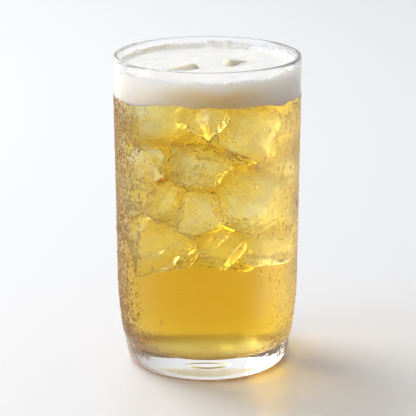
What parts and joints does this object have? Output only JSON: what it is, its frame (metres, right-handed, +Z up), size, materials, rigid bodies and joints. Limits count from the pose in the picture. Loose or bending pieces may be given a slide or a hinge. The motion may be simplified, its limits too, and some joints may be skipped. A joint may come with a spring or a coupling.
{
  "type": "glass of iced oolong tea",
  "caption": "Straight tumbler with a heavy clear base and soft heel, filled with golden iced tea under a head of foam, ice edges showing through the foam.",
  "frame": {"origin": "centre of the glass's foot, on the surface that it stands on", "axes": "+Z up along the glass's axis; -Y towards the viewer"},
  "size_m": [0.0734, 0.0734, 0.125],
  "materials": {
    "clear_glass": "clear, polished, with fine condensation outside",
    "oolong_tea": "clear golden liquid",
    "foam": "matte fine foam",
    "ice": "wet, uneven, slightly cloudy"
  },
  "bodies": {
    "root": {"glass": "clear_glass", "tea": "oolong_tea", "foam": "foam", "ice_block_left": "ice", "ice_block_right": "ice"}
  },
  "joints": []
}
